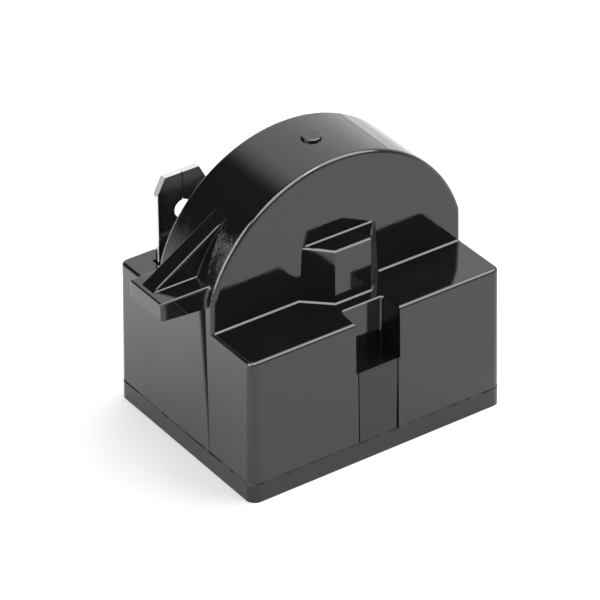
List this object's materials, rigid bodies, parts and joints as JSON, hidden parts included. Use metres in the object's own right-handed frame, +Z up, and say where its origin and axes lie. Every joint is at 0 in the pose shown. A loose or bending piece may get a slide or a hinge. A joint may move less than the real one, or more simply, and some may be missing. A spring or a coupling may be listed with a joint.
{
  "type": "compressor start relay",
  "caption": "Plug-on start relay for a refrigerator compressor: black moulded block with a round-topped resistor chamber, a wire tab, and pin sockets underneath.",
  "frame": {"origin": "middle of the underside of the base cover", "axes": "+X to the right along the front, +Y to the back, +Z up from the pin face to the dome"},
  "size_m": [0.037, 0.025, 0.0325],
  "materials": {
    "housing_plastic": "gloss moulded black plastic",
    "cover_plastic": "gloss moulded black plastic",
    "resistor_ceramic": "fired ceramic with silvered faces",
    "spring_steel": "bright spring steel",
    "tinned_terminal": "tin-plated, satin",
    "rivet_brass": "plain"
  },
  "bodies": {
    "root": {"housing": "housing_plastic", "base_cover": "cover_plastic", "ptc_disc": "resistor_ceramic", "start_spring": "spring_steel", "run_spring": "spring_steel", "start_terminal": "tinned_terminal", "run_terminal": "tinned_terminal", "start_hoop": "spring_steel", "run_hoop": "spring_steel", "start_rivet": "rivet_brass", "run_rivet": "rivet_brass"}
  },
  "joints": []
}
